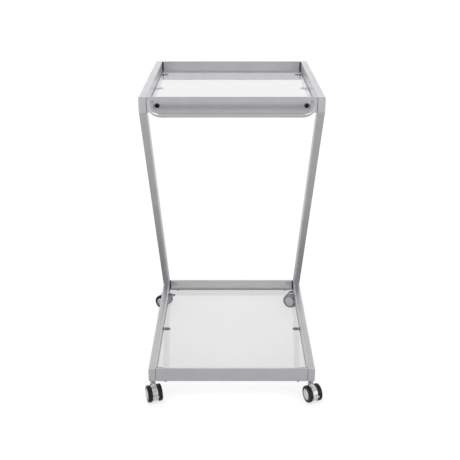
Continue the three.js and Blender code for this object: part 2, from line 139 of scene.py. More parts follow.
# A wheel and its cap are drawn from the wheel's inner face, as (radius, distance along the axle).
WHEEL = {"inner": 8.75, "radius": 25, "width": 12.5, "shoulder": 3.2, "shoulder_steps": 8}
TYRE_INNER_LIP = (20.4, 0.7)
TYRE_SEAT = [(19.2, 12.5), (18.6, 12.1), (18.0, 9.8), (18.0, 6)]
TYRE_SIDES = 96
GROOVES = (4.7, 7.8)
GROOVE = {"depth": 0.45, "half": 0.45, "floor_half": 0.2}
CORE_PROFILE = [
    (2.9, 0.5), (6.6, 0.5), (6.9, 0.9), (6.9, 6.2), (19.2, 6.2), (19.2, 1.0), (19.5, 0.7),
    (20.5, 0.7), (20.5, 11.9), (18.7, 12.3), (16.6, 12.3), (16.35, 12.0), (16.35, 9.6), (2.9, 9.6),
]
HUB_SIDES = 72
SPOKE = {
    "count": 8, "from": 6.4, "to": 19.6, "middle": 3.8, "half_width": 0.7, "half_depth": 2.6,
    "corner": 0.35,
}
CAP_RIM = [
    (16.0, 9.9), (16.0, 12.3), (15.8, 12.7), (15.3, 12.95), (14.3, 13.05), (13.9, 12.85),
    (13.7, 12.5), (13.2, 12.5), (13.0, 12.8),
]
CAP_DOME = {"base": 12.9, "rise": 1.9, "radius": 13.4}
CAP_DOME_RADII = (12.7, 12, 11, 10, 9, 8, 7, 6, 5)
# The groove and the button at a cap's middle: (radius, where on the dome, lift above it)
CAP_BUTTON = [
    (4.6, 4.6, 0), (4.4, 4.4, -0.4), (3.9, 3.9, -0.4), (3.7, 3.7, 0), (3.3, 3, 0.35),
    (2.0, 2, 0.45), (0.4, 0, 0.45),
]
CAP_RIB = {"count": 6, "orbit": 8.6, "half_length": 2.7, "half_width": 0.75, "corner": 0.5}
CAP_RIB_RINGS = [(-0.5, 0), (0.15, 0), (0.35, 0.2)]
# The stem, from the spindle in the hood up to the shank in the rail: (radius, height)
STEM_PROFILE = [
    (3.4, 37), (4, 37.6), (4, 53.4), (6.2, 53.5), (6.5, 53.8), (6.5, 56.4), (6.1, 56.8), (5.7, 57),
    (5.7, 57.6), (6.1, 57.8), (6.5, 58.2), (6.5, 63.3), (6.1, 63.7), (5, 63.7), (5, 85.2),
    (4.2, 86),
]

# ---------------------------------------------------------------- mesh helpers


def placed(name, data):
    """A new object in the scene."""
    thing = bpy.data.objects.new(name, data)
    bpy.context.scene.collection.objects.link(thing)
    return thing


class Skin:
    """Collects surfaces that become one mesh."""

    def __init__(self):
        self.points = []
        self.faces = []
        self.material_numbers = []

    def loft(self, rings, loop=False, material=0):
        """A skin through rings of points of the same count, closed at both ends or in a loop."""
        first = len(self.points)
        count = len(rings[0])
        for ring in rings:
            self.points += [tuple(p) for p in ring]
        spans = len(rings) if loop else len(rings) - 1
        for i in range(spans):
            here = first + i * count
            there = first + (i + 1) % len(rings) * count
            for k in range(count):
                nxt = (k + 1) % count
                self.faces.append((here + k, here + nxt, there + nxt, there + k))
                self.material_numbers.append(material)
        if not loop:
            last = first + (len(rings) - 1) * count
            self.faces.append(tuple(range(first, first + count)))
            self.faces.append(tuple(range(last, last + count)))
            self.material_numbers += [material, material]
        return self

    def turned(self, profile, place, segments=48, material=0, closed=False):
        """A lathed surface: the profile lists (radius, distance along), about place's own Z."""
        rings = []
        for radius, along in profile:
            ring = []
            for k in range(segments):
                angle = 2 * math.pi * k / segments
                spot = Vector((radius * math.cos(angle), radius * math.sin(angle), along))
                ring.append(place @ spot)
            rings.append(ring)
        return self.loft(rings, loop=closed, material=material)

    def add(self, points, faces):
        """Surfaces given as points and as faces that number those points."""
        first = len(self.points)
        self.points += [tuple(p) for p in points]
        self.faces += [tuple(first + i for i in face) for face in faces]
        self.material_numbers += [0] * len(faces)
        return self

    def piece(self, name, materials, body, slot, *replaced, sharp=38, flat_first=True):
        """Makes the object, which rides on body and stands for the replaced nodes."""
        mesh = bpy.data.meshes.new(name)
        mesh.from_pydata(self.points, [], self.faces)
        for material in materials:
            mesh.materials.append(material)
        mesh.polygons.foreach_set("material_index", self.material_numbers)
        work = bmesh.new()
        work.from_mesh(mesh)
        bmesh.ops.remove_doubles(work, verts=work.verts, dist=SAME_POINT)
        bmesh.ops.recalc_face_normals(work, faces=work.faces)
        work.to_mesh(mesh)
        work.free()
        mesh.shade_smooth()
        mesh.set_sharp_from_angle(angle=math.radians(sharp))
        thing = placed(name, mesh)
        if flat_first:
            thing.modifiers.new("even_flats", "WEIGHTED_NORMAL").keep_sharp = True
        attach(thing, body)
        if replaced:
            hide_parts(*replaced)


def rounded_rectangle(half_x, half_y, radius, steps=4):
    """Outline of a rectangle with round corners about (0, 0), anticlockwise."""
    points = []
    for quarter, (sx, sy) in enumerate([(1, 1), (-1, 1), (-1, -1), (1, -1)]):
        for k in range(steps + 1):
            angle = math.pi / 2 * (quarter + k / steps)
            x = sx * (half_x - radius) + radius * math.cos(angle)
            y = sy * (half_y - radius) + radius * math.sin(angle)
            points.append((x, y))
    return points


def round_ends(length, radius, steps=3):
    """(distance along, inset) of a bar whose two ends are rounded by radius."""
    angles = [math.pi / 2 * k / steps for k in range(steps + 1)]
    start = [(radius * (1 - math.cos(a)), radius * (1 - math.sin(a))) for a in angles]
    finish = [(length - along, inset) for along, inset in reversed(start)]
    return start + finish


def bar_rings(low, high, axis, corner, end_round):
    """Rings of a rectangular tube with eased corners and ends, between two corners of its box."""
    middle = (low + high) / 2
    half = (high - low) / 2
    other = [i for i in range(3) if i != axis]
    rings = []
    for along, inset in round_ends(2 * half[axis], end_round):
        outline = rounded_rectangle(
            half[other[0]] - inset, half[other[1]] - inset,
            max(corner - inset, corner * LEAST_CORNER),
        )
        ring = []
        for u, v in outline:
            spot = Vector(middle)
            spot[axis] = low[axis] + along
            spot[other[0]] += u
            spot[other[1]] += v
            ring.append(spot)
        rings.append(ring)
    return rings


def circle(centre, u, v, radius, count):
    """Points round centre in the plane of the unit vectors u and v."""
    turns = [2 * math.pi * k / count for k in range(count)]
    return [centre + u * (radius * math.cos(t)) + v * (radius * math.sin(t)) for t in turns]


def spaced(outline, pitch):
    """The closed outline's points, with more put between them so no gap is wider than pitch."""
    points = []
    for here, there in zip(outline, outline[1:] + outline[:1]):
        steps = max(1, math.ceil((there - here).length / pitch))
        points += [here.lerp(there, k / steps) for k in range(steps)]
    return points


def weld_bead(skin, outline, normal, radius):
    """A rippled bead laid along a closed outline that lies in the plane across normal."""
    points = spaced(outline, WELD_STEP)
    count = len(points)
    rings = []
    travelled = 0
    for i, here in enumerate(points):
        before, after = points[i - 1], points[(i + 1) % count]
        tangent = (after - before).normalized()
        ripple = 1 + WELD_RIPPLE * math.sin(2 * math.pi * travelled / WELD_PITCH)
        rings.append(circle(here, tangent.cross(normal), normal, radius * ripple, WELD_SIDES))
        travelled += (after - here).length
    skin.loft(rings, loop=True)


# ---------------------------------------------------------------- distance fields
# Moulded shapes are drawn as fields of signed distance and then skinned with four-sided faces,
# whose points are pulled onto the surface in a few steps down the field's slope.
NUDGE = 0.05  # share of a grid step
PULLS = 8
PULL = 0.8
LEAST_SLOPE = 0.05


def round_cylinder(across, along, radius, half, rounding):
    """Distance to a cylinder with rounded rims."""
    out = across - radius + rounding
    end = np.abs(along) - half + rounding
    outside = np.hypot(np.maximum(out, 0), np.maximum(end, 0))
    return outside + np.minimum(np.maximum(out, end), 0) - rounding


def joined(a, b, fillet):
    """Union of two fields with a fillet between them."""
    share = np.clip(0.5 + 0.5 * (b - a) / fillet, 0, 1)
    return b + (a - b) * share - fillet * share * (1 - share)


def carved(a, b, fillet):
    """Field a with b taken away, the edges eased."""
    return -joined(-a, b, fillet)


def skinned(field, low, high, step):
    """Points and faces of the surface where the field is zero, one point a cell of the grid."""
    axes = [np.arange(lo - step, hi + 2 * step, step) for lo, hi in zip(low, high)]
    grid = np.meshgrid(*axes, indexing="ij")
    inside = field(*grid) < 0
    cells = tuple(n - 1 for n in inside.shape)
    count = np.zeros(cells, int)
    for dx in (0, 1):
        for dy in (0, 1):
            for dz in (0, 1):
                count += inside[dx:dx + cells[0], dy:dy + cells[1], dz:dz + cells[2]]
    active = (count > 0) & (count < 8)
    number = np.full(cells, -1)
    number[active] = np.arange(active.sum())
    where = np.argwhere(active)
    middle = np.stack([axes[i][where[:, i]] + step / 2 for i in range(3)], 1)
    points = middle.copy()
    nudge = step * NUDGE
    for _ in range(PULLS):
        value = field(*points.T)
        slope = np.zeros_like(points)
        for i in range(3):
            shift = np.zeros(3)
            shift[i] = nudge
            slope[:, i] = (field(*(points + shift).T) - field(*(points - shift).T)) / (2 * nudge)
        steep = np.maximum((slope ** 2).sum(1), LEAST_SLOPE)
        points -= slope * (value / steep)[:, None] * PULL
        points = np.clip(points, middle - step, middle + step)
    faces = []
    for axis in range(3):
        a, b = [i for i in range(3) if i != axis]
        lower = [slice(None)] * 3
        upper = [slice(None)] * 3
        lower[axis] = slice(0, -1)
        upper[axis] = slice(1, None)
        crossing = np.argwhere(inside[tuple(lower)] != inside[tuple(upper)])
        corners = []
        for da, db in ((-1, -1), (0, -1), (0, 0), (-1, 0)):
            cell = crossing.copy()
            cell[:, a] += da
            cell[:, b] += db
            corners.append(number[tuple(cell.T)])
        faces.append(np.stack(corners, 1))
    return points, np.concatenate(faces).tolist()


# ---------------------------------------------------------------- materials
SILVER_TINT = (0.965, 0.96, 1)  # the coats are a faintly violet grey
FINE_DEPTH = 0.05 * MM
MOULD_DEPTH = 0.08 * MM
NOISE_LOW, NOISE_HIGH = 0.3, 0.7
GLASS_TONE = 0.76
GLASS_IOR = 1.7  # a little more than real glass, so the shelves mirror clearly
GLASS_SMEAR = 0.012
LAMP_THROUGH = 0.95


def shader(name):
    """A new material, its node tree and its main shader."""
    material = bpy.data.materials.new(name)
    material.use_nodes = True
    tree = material.node_tree
    return material, tree, tree.nodes["Principled BSDF"]


def grey(tone):
    """An opaque grey, as a colour."""
    return (tone, tone, tone, 1)


def linked(tree, kind, inputs=(), **settings):
    """A new node with settings made and sockets linked or set, by name or number."""
    node = tree.nodes.new(kind)
    for key, value in settings.items():
        setattr(node, key, value)
    for key, value in dict(inputs).items():
        if isinstance(value, bpy.types.NodeSocket):
            tree.links.new(value, node.inputs[key])
        else:
            node.inputs[key].default_value = value
    return node


def grain(tree, scale, detail=2.0, roughness=0.5, stretch=None):
    """Noise in the piece's own space, as a value."""
    place = linked(tree, "ShaderNodeTexCoord").outputs["Object"]
    if stretch:
        place = linked(tree, "ShaderNodeMapping", {"Vector": place, "Scale": stretch}).outputs[0]
    noise = linked(tree, "ShaderNodeTexNoise", {
        "Vector": place, "Scale": scale, "Detail": detail, "Roughness": roughness,
    })
    return noise.outputs["Fac"]


def ramp(tree, value, stops, tint=(1, 1, 1)):
    """A colour ramp of (position, grey) stops; tint colours the greys."""
    node = linked(tree, "ShaderNodeValToRGB", {"Fac": value})
    marks = node.color_ramp.elements
    while len(marks) < len(stops):
        marks.new(0.5)
    for mark, (position, tone) in zip(marks, stops):
        mark.position = position
        mark.color = (*(tone * part for part in tint), 1)
    return node.outputs["Color"]


def spread(tree, value, low, high):
    """A noise value, mostly from NOISE_LOW to NOISE_HIGH, stretched over low to high."""
    return linked(tree, "ShaderNodeMapRange", {
        "Value": value, "From Min": NOISE_LOW, "From Max": NOISE_HIGH,
        "To Min": low, "To Max": high,
    }).outputs[0]


def share_between(tree, value, low, high):
    """How far a value is from low to high, from 0 to 1."""
    return linked(tree, "ShaderNodeMapRange", {
        "Value": value, "From Min": low, "From Max": high,
    }).outputs[0]


def bumped(tree, surface, height, strength, distance):
    """Raises the surface's shading by a height value."""
    bump = linked(tree, "ShaderNodeBump", {
        "Height": height, "Strength": strength, "Distance": distance,
    })
    tree.links.new(bump.outputs["Normal"], surface.inputs["Normal"])


def added(tree, a, b, share):
    """a plus share of b."""
    node = linked(tree, "ShaderNodeMath", {0: b, 1: share, 2: a}, operation="MULTIPLY_ADD")
    return node.outputs[0]


def colour_mix(tree, share, a, b, blend="MIX"):
    """Colour a, and share of colour b mixed into it."""
    node = linked(
        tree, "ShaderNodeMix", {0: share, 6: a, 7: b}, data_type="RGBA", blend_type=blend,
    )
    return node.outputs[2]


def either_ray(tree, one, other):
    """1 for rays of the two kinds, and 0 for the rest."""
    ray = linked(tree, "ShaderNodeLightPath")
    kinds = {0: ray.outputs[one], 1: ray.outputs[other]}
    return linked(tree, "ShaderNodeMath", kinds, operation="MAXIMUM").outputs[0]


def end_with_mix(tree, share, a, b):
    """The material shows shader a where share is 0 and b where it is 1."""
    mix = linked(tree, "ShaderNodeMixShader", {0: share, 1: a, 2: b})
    tree.links.new(mix.outputs[0], tree.nodes["Material Output"].inputs["Surface"])


def metal_paint(name, dark, light, metallic, roughness, texture, flake_scale=2600.0):
    """Silver coat: metal flakes, a cloudy tone, and the fine orange peel of sprayed powder."""
    material, tree, surface = shader(name)
    flakes = grain(tree, flake_scale, detail=1.0)
    cloud = grain(tree, scale=14.0, detail=3.0)
    tone = added(tree, flakes, cloud, share=0.6)
    colour = ramp(tree, tone, [(0.5, dark), (1.0, light)], SILVER_TINT)
    tree.links.new(colour, surface.inputs["Base Color"])
    surface.inputs["Metallic"].default_value = metallic
    smear = grain(tree, scale=45.0, detail=4.0)
    tree.links.new(spread(tree, smear, *roughness), surface.inputs["Roughness"])
    peel = added(tree, grain(tree, scale=420.0), grain(tree, scale=1500.0), share=0.35)
    bumped(tree, surface, peel, texture, FINE_DEPTH)
    return material


def plain_metal(name, dark, light, roughness, stretch):
    """Bare or plated metal with fine turning marks."""
    material, tree, surface = shader(name)
    marks = grain(tree, scale=600.0, detail=3.0, roughness=0.6, stretch=stretch)
    colour = ramp(tree, marks, [(NOISE_LOW, dark), (NOISE_HIGH, light)])
    tree.links.new(colour, surface.inputs["Base Color"])
    surface.inputs["Metallic"].default_value = 1.0
    tree.links.new(spread(tree, marks, *roughness), surface.inputs["Roughness"])
    bumped(tree, surface, marks, strength=0.12, distance=FINE_DEPTH)
    return material


def moulded(name, dark, light, roughness, texture, scale=700.0, metallic=0.0, specular=0.5):
    """Moulded plastic or rubber with a fine mould texture and slight dulling."""
    material, tree, surface = shader(name)
    cloud = grain(tree, scale=60.0, detail=4.0)
    tree.links.new(ramp(tree, cloud, [(0.35, dark), (0.65, light)]), surface.inputs["Base Color"])
    surface.inputs["Metallic"].default_value = metallic
    surface.inputs["Specular IOR Level"].default_value = specular
    tree.links.new(spread(tree, cloud, *roughness), surface.inputs["Roughness"])
    bumped(tree, surface, grain(tree, scale), texture, MOULD_DEPTH)
    return material


def clear_glass(name):
    """Clear float glass: it mirrors and shows what is behind it, and lets lamps through."""
    material, tree, surface = shader(name)
    surface.inputs["Base Color"].default_value = grey(GLASS_TONE)
    surface.inputs["Transmission Weight"].default_value = 1.0
    surface.inputs["IOR"].default_value = GLASS_IOR
    smear = grain(tree, scale=9.0, detail=4.0, roughness=0.6)
    tree.links.new(spread(tree, smear, 0.0, GLASS_SMEAR), surface.inputs["Roughness"])
    through = linked(tree, "ShaderNodeBsdfTransparent", {"Color": grey(LAMP_THROUGH)})
    lamp_light = either_ray(tree, "Is Shadow Ray", "Is Diffuse Ray")
    end_with_mix(tree, lamp_light, surface.outputs[0], through.outputs[0])
    return material


def clear_rubber(name, dark, light, clear, roughness):
    """Milky rubber that lets some light through."""
    material, tree, surface = shader(name)
    cloud = grain(tree, scale=250.0)
    colour = ramp(tree, cloud, [(NOISE_LOW, dark), (NOISE_HIGH, light)])
    tree.links.new(colour, surface.inputs["Base Color"])
    surface.inputs["Transmission Weight"].default_value = clear
    tree.links.new(spread(tree, cloud, *roughness), surface.inputs["Roughness"])
    return material


FRAME_PAINT = metal_paint(
    "frame_powder_coat", dark=0.6, light=0.72, metallic=0.85, roughness=(0.28, 0.33), texture=0.06,
)
HANDLE_PAINT = metal_paint(
    "handle_coat", dark=0.63, light=0.69, metallic=0.8, roughness=(0.27, 0.31), texture=0.01,
)
# Painted shade: the frame's silver coat drawn darker for the lugs, which sit in shade under the
# glass
LUG_SHADED_PAINT = metal_paint(
    "lug_coat", dark=0.3, light=0.42, metallic=0.5, roughness=(0.36, 0.5), texture=0.3,
)
GLASS = clear_glass("float_glass")
PAD_RUBBER = clear_rubber("pad_rubber", dark=0.55, light=0.68, clear=0.35, roughness=(0.3, 0.45))
BLACK_STEEL = moulded(
    "black_oxide", dark=0.012, light=0.03, roughness=(0.26, 0.4), texture=0.2, scale=900.0,
    metallic=0.6,
)
# Painted shade: black for the plugs that fill the gaps at the cross rails' ends, standing in for
# the shadow inside those gaps
SHADE_BLACK_PLASTIC = moulded(
    "black_plug_plastic", dark=0.012, light=0.025, roughness=(0.45, 0.6), texture=0.3,
)
ZINC = plain_metal("zinc_plate", dark=0.55, light=0.75, roughness=(0.2, 0.34), stretch=(1, 1, 6))
SHELL = metal_paint(
    "silver_shell", dark=0.8, light=0.93, metallic=0.7, roughness=(0.1, 0.18), texture=0.04,
    flake_scale=4000.0,
)
CAP_SILVER = metal_paint(
    "cap_silver", dark=0.76, light=0.86, metallic=0.2, roughness=(0.28, 0.4), texture=0.15,
    flake_scale=4000.0,
)
TYRE = moulded(
    "tyre_polymer", dark=0.007, light=0.014, roughness=(0.22, 0.38), texture=0.35, scale=500.0,
    specular=0.4,
)
WHEEL_CORE = moulded(
    "wheel_core", dark=0.014, light=0.022, roughness=(0.4, 0.55), texture=0.25,
)


def finish_node(name, material):
    """A CAD node that stays as it is gets a better material."""
    mesh = frame["nodes"][name].data
    mesh.materials.clear()
    mesh.materials.append(material)


# ---------------------------------------------------------------- frame


def level_section(node, z):
    """Lowest and highest Y of a node's corners at height z."""
    ys = [v.co.y for v in frame["nodes"][node].data.vertices if abs(v.co.z - z) < MM]
    return min(ys), max(ys)


def flat_loop(centre, half_x, half_y, corner):
    """A rounded rectangle that lies level about centre."""
    return [
        Vector((centre.x + x, centre.y + y, centre.z))
        for x, y in rounded_rectangle(half_x, half_y, corner)
    ]


def side_rails():
    """The two tubes along the sides of each tray."""
    for side in SIDES:
        for tray in TRAYS:
            name = f"{side}_{tray}_side_rail"
            low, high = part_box(name)
            skin = Skin().loft(bar_rings(low, high, AXIS_Y, RAIL_CORNER, RAIL_END_ROUND))
            skin.piece(f"{name}_tube", [FRAME_PAINT], "frame", "frame_paint", name)


def upright(side):
    """The leaning tube, with a weld bead round each end."""
    name = f"{side}_upright"
    low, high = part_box(name)
    half_x = (high.x - low.x) / 2
    ends = []
    for z in (high.z, low.z):
        y0, y1 = level_section(name, z)
        ends.append((Vector(((low.x + high.x) / 2, (y0 + y1) / 2, z)), (y1 - y0) / 2))
    (top, half_y), (foot, _) = ends
    section = rounded_rectangle(half_x, half_y / UPRIGHT_STRETCH, RAIL_CORNER)
    rings = []
    for step in range(UPRIGHT_STEPS + 1):
        centre = top.lerp(foot, step / UPRIGHT_STEPS)
        rings.append([
            Vector((centre.x + x, centre.y + y * UPRIGHT_STRETCH, centre.z)) for x, y in section
        ])
    skin = Skin().loft(rings)
    for centre in (top, foot):
        loop = flat_loop(centre, half_x - WELD_SINK, half_y - WELD_SINK, RAIL_CORNER)
        weld_bead(skin, loop, Vector((0, 0, 1)), WELD_RADIUS)
    skin.piece(f"{side}_upright_tube", [FRAME_PAINT], "frame", "frame_paint", name)


def cross_rails():
    """The four rails across, each with a plug that closes the joint at either end; the plug's black
    is painted shade for the shadow in the gap between the rails.
    """
    for tray in TRAYS:
        for end in ENDS:
            name = f"{tray}_{end}_rail"
            low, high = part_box(name)
            skin = Skin().loft(bar_rings(low, high, AXIS_X, CROSS_CORNER, RAIL_END_ROUND / 2))
            skin.piece(f"{name}_tube", [FRAME_PAINT], "frame", "frame_paint", name)
            # Each plug joins the rail ends, and its black is painted shade for the gap's shadow
            for side, sign in SIDES.items():
                side_low, side_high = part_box(f"{side}_{tray}_side_rail")
                inner_x = min(abs(side_low.x), abs(side_high.x))
                xs = sorted((sign * (high.x - PLUG_REACH), sign * (inner_x + PLUG_SINK)))
                plug_low = Vector((xs[0], low.y + PLUG_INSET, low.z + PLUG_INSET))
                plug_high = Vector((xs[1], high.y - PLUG_INSET, high.z - PLUG_INSET))
                plug = Skin().loft(
                    bar_rings(plug_low, plug_high, AXIS_X, PLUG_CORNER, PLUG_END_ROUND)
                )
                plug.piece(f"{tray}_{end}_{side}_plug", [SHADE_BLACK_PLASTIC], "frame", "black_steel")


# ---------------------------------------------------------------- glass shelves


def glass_shelves():
    """One pane in each tray, its sharp edges taken off."""
    for tray in TRAYS:
        name = f"{tray}_glass_shelf"
        low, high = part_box(name)
        rings = []
        for along, inset in round_ends(high.z - low.z, GLASS_ARRIS, steps=2):
            half_x = (high.x - low.x) / 2 - inset
            half_y = (high.y - low.y) / 2 - inset
            centre = Vector(((low.x + high.x) / 2, (low.y + high.y) / 2, low.z + along))
            rings.append(flat_loop(centre, half_x, half_y, GLASS_CORNER - inset))
        pane = Skin().loft(rings)
        pane.piece(f"{tray}_glass_pane", [GLASS], "frame", "shelf_glass", name)


def tongue(length, half_width, inset, steps=16):
    """Outline of a lug from its root at x = 0 to its round tip."""
    radius = half_width - inset
    tip = length - half_width
    arc = [-math.pi / 2 + math.pi * k / steps for k in range(steps + 1)]
    round_tip = [(tip + radius * math.cos(a), radius * math.sin(a)) for a in arc]
    return [(0, -radius), *round_tip, (0, radius)]


def lug(name, side):
    """A tongue welded to the side rail, with a clear pad on it for the glass."""
    low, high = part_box(name)
    sign = SIDES[side]
    length = high.x - low.x
    half_width = (high.y - low.y) / 2
    root = Vector((high.x if sign > 0 else low.x, (low.y + high.y) / 2, low.z))
    rings = []
    for along, inset in round_ends(high.z - low.z, LUG_EDGE, steps=2):
        outline = tongue(length - inset, half_width, inset)
        rings.append([root + Vector((-sign * x, y, along)) for x, y in outline])
    skin = Skin().loft(rings)
    half_thick = (high.z - low.z) / 2
    section = rounded_rectangle(half_width, half_thick, half_thick * LUG_WELD_CORNER)
    bead = [root + Vector((0, y, half_thick + z)) for y, z in section]
    weld_bead(skin, bead, Vector((1, 0, 0)), LUG_WELD_RADIUS)
    # The tongue takes the darker lug coat, which is painted shade
    skin.piece(f"{name}_tongue", [LUG_SHADED_PAINT], "frame", "lug_steel", name)
    tray = name.split("_")[0]
    pad_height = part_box(f"{tray}_glass_shelf")[0].z - high.z
    middle = root + Vector((-sign * (length - half_width), 0, high.z - low.z))
    profile = [(PAD_RADIUS * out, pad_height * up) for out, up in PAD_PROFILE]
    pad = Skin().turned(profile, Matrix.Translation(middle), PAD_SIDES)
    pad.piece(f"{name}_pad", [PAD_RUBBER], "frame", "shelf_glass")


# ---------------------------------------------------------------- handle and fasteners


def handle():
    """One bent tube: two short legs and a straight bar, welded to the front rail."""
    _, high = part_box("handle")
    rail_low, rail_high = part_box("top_front_rail")
    half_span = high.x - TUBE_RADIUS
    leg = math.hypot(HANDLE_REACH, HANDLE_DROP)
    out = Vector((0, -HANDLE_REACH, -HANDLE_DROP)) / leg
    across = Vector((1, 0, 0))
    root = Vector((0, rail_low.y, rail_high.z - HANDLE_END_DROP))
    straight = leg - HANDLE_BEND

    # The tube's middle line as (x, distance out from the rail, direction), left half first
    path = []
    steps = HANDLE_STEPS["leg"]
    for k in range(steps + 1):
        path.append((-half_span, -HANDLE_SINK + (straight + HANDLE_SINK) * k / steps, out))
    steps = HANDLE_STEPS["bend"]
    for k in range(1, steps + 1):
        angle = math.pi / 2 * k / steps
        x = -half_span + HANDLE_BEND * (1 - math.cos(angle))
        forward = straight + HANDLE_BEND * math.sin(angle)
        path.append((x, forward, across * math.sin(angle) + out * math.cos(angle)))
    steps = HANDLE_STEPS["bar"]
    for k in range(1, steps):
        path.append((-(half_span - HANDLE_BEND) * (1 - k / steps), leg, across))
    path.append((0, leg, across))
    mirror = [(-x, forward, Vector((t.x, -t.y, -t.z))) for x, forward, t in reversed(path[:-1])]

    normal = across.cross(out).normalized()
    rings = []
    for x, forward, tangent in path + mirror:
        centre = root + across * x + out * forward
        rings.append(circle(centre, normal, normal.cross(tangent), TUBE_RADIUS, TUBE_SIDES))
    skin = Skin().loft(rings)
    tilt = -out.y
    for sign in SIDES.values():
        loop = []
        for k in range(HANDLE_WELD_SIDES):
            angle = 2 * math.pi * k / HANDLE_WELD_SIDES
            loop.append(root + Vector((
                sign * half_span + TUBE_RADIUS * math.cos(angle), -HANDLE_WELD_OUT,
                TUBE_RADIUS / tilt * math.sin(angle),
            )))
        weld_bead(skin, loop, Vector((0, 1, 0)), WELD_RADIUS)
    skin.piece("handle_tube", [HANDLE_PAINT], "frame", "handle_paint", "handle")


def button_head(name, foot, direction, size, *replaced):
    """A socket button head that stands on foot and points along direction."""
    place = Matrix.Translation(foot) @ direction.to_track_quat("Z", "Y").to_matrix().to_4x4()
    radius, height = size["radius"], size["height"]
    flat = radius * HEAD_FLAT
    rim = HEAD_RIM[-1][1]
    profile = [(radius * HEAD_RIM[0][0], -size["shank"])]
    profile += [(radius * across, height * up) for across, up in HEAD_RIM]
    for k in range(1, DOME_STEPS + 1):
        angle = math.pi / 2 * k / DOME_STEPS
        profile.append((
            flat + (radius - flat) * math.cos(angle), height * (rim + (1 - rim) * math.sin(angle)),
        ))
    turns = [2 * math.pi * k / HEAD_SIDES for k in range(HEAD_SIDES)]
    rings = []
    for r, along in profile:
        rings.append([place @ Vector((r * math.cos(a), r * math.sin(a), along)) for a in turns])
    for up, ease in HEX_SOCKET:
        ring = []
        for a in turns:
            off_flat = (a + math.pi / 6) % (math.pi / 3) - math.pi / 6
            r = radius * HEX_ACROSS * ease / math.cos(off_flat)
            ring.append(place @ Vector((r * math.cos(a), r * math.sin(a), height * up)))
        rings.append(ring)
    skin = Skin().loft(rings)
    skin.piece(name, [BLACK_STEEL], "frame", "black_steel", *replaced)


def fasteners():
    """The bolts beside the handle's ends, and the screws under the base's cross rails."""
    rail_low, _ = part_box("top_front_rail")
    for side, sign in SIDES.items():
        node = f"handle_{side}_bolt"
        low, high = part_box(node)
        foot = Vector(((low.x + high.x) / 2, rail_low.y - BOLT_GAP, (low.z + high.z) / 2))
        button_head(f"{node}_head", foot, Vector((0, -1, 0)), BOLT, node)
        for end in ENDS:
            low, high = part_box(f"base_{end}_rail")
            under = Vector((sign * SCREW_X, (low.y + high.y) / 2, low.z))
            button_head(f"base_{end}_{side}_screw", under, Vector((0, 0, -1)), SCREW)


# ---------------------------------------------------------------- casters


def caster_place(corner):
    """The matrix from the caster's own millimetre drawing to the trolley."""
    low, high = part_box(f"{corner}_stem")
    stem = Vector(((low.x + high.x) / 2, (low.y + high.y) / 2, 0))
    spin = next(j for j in frame["joints"] if j["name"] == f"{corner}_left_wheel_spin")
    axis = Vector(spin["axis"])
    turn = math.atan2(axis.y, axis.x)
    return Matrix.Translation(stem) @ Matrix.Rotation(turn, 4, "Z") @ Matrix.Scale(MM, 4)


def about_axle(radius, degrees, x=0):
    """A point at an angle about the axle: 0 is in front of it, 90 above it."""
    angle = math.radians(degrees)
    return Vector((x, AXLE_Y - radius * math.cos(angle), AXLE_Z + radius * math.sin(angle)))


def polar(y, z):
    """Distance from the axle and angle about it, in radians."""
    return np.hypot(y - AXLE_Y, z - AXLE_Z), np.arctan2(z - AXLE_Z, AXLE_Y - y)


def hood_field(brake):
    """The field of a hood; a braked one has room for the pedal, its barrel and its pin."""
    half = HOOD["half"]
    boss_half = (HOOD["top"] - AXLE_Z) / 2
    boss_middle = AXLE_Z + boss_half
    pin = about_axle(PEDAL_PIN["orbit"], PEDAL_PIN["angle"])
    low = math.radians(PEDAL["from"] - PEDAL_ROOM["below"])
    high = math.radians(PEDAL["to"] + PEDAL_ROOM["above"])

    def field(x, y, z):
        out, angle = polar(y, z)
        from_stem = np.hypot(x, y)
        body = round_cylinder(out, x, HOOD["radius"], half, HOOD["round"])
        boss = round_cylinder(from_stem, z - boss_middle, HOOD["boss"], boss_half, rounding=1.0)
        shell = np.maximum(joined(body, boss, HOOD_FILLET), np.abs(x) - half)
        pocket = round_cylinder(out, x, HOOD_POCKET["radius"], HOOD_POCKET["half"], rounding=1.0)
        shell = carved(shell, pocket, fillet=0.4)
        axle_boss = round_cylinder(out, x, AXLE_BOSS["radius"], AXLE_BOSS["half"], rounding=0.4)
        up_stem = z - STEM_BOSS["middle"]
        stem_boss = round_cylinder(
            from_stem, up_stem, STEM_BOSS["radius"], STEM_BOSS["half"], rounding=0.5,
        )
        shell = joined(shell, np.minimum(axle_boss, stem_boss), fillet=1.2)
        shell = carved(shell, z - HOOD["bottom"], fillet=0.5)
        shell = carved(shell, out - AXLE_HOLE, fillet=0.2)
        stem_hole = np.maximum(from_stem - STEM_HOLE["radius"], STEM_HOLE["bottom"] - z)
        shell = carved(shell, stem_hole, fillet=0.2)
        if brake:
            beside = np.maximum(out * np.sin(angle - high), out * np.sin(low - angle))
            step = np.maximum(PEDAL["inner"] - PEDAL_ROOM["behind"] - out, beside)
            step = np.maximum(step, np.abs(angle) - math.pi / 2)
            shell = carved(shell, step, fillet=0.5)
            from_pin = np.hypot(y - pin.y, z - pin.z)
            notch = np.maximum(
                from_pin - PEDAL_PIN["barrel"] - BARREL_ROOM["round"],
                np.abs(x) - PEDAL_PIN["half"] - BARREL_ROOM["end"],
            )
            bore = np.maximum(from_pin - PIN_HOLE["radius"], np.abs(x) - PIN_HOLE["half"])
            shell = carved(carved(shell, notch, fillet=0.2), bore, fillet=0.1)
        return shell

    return field


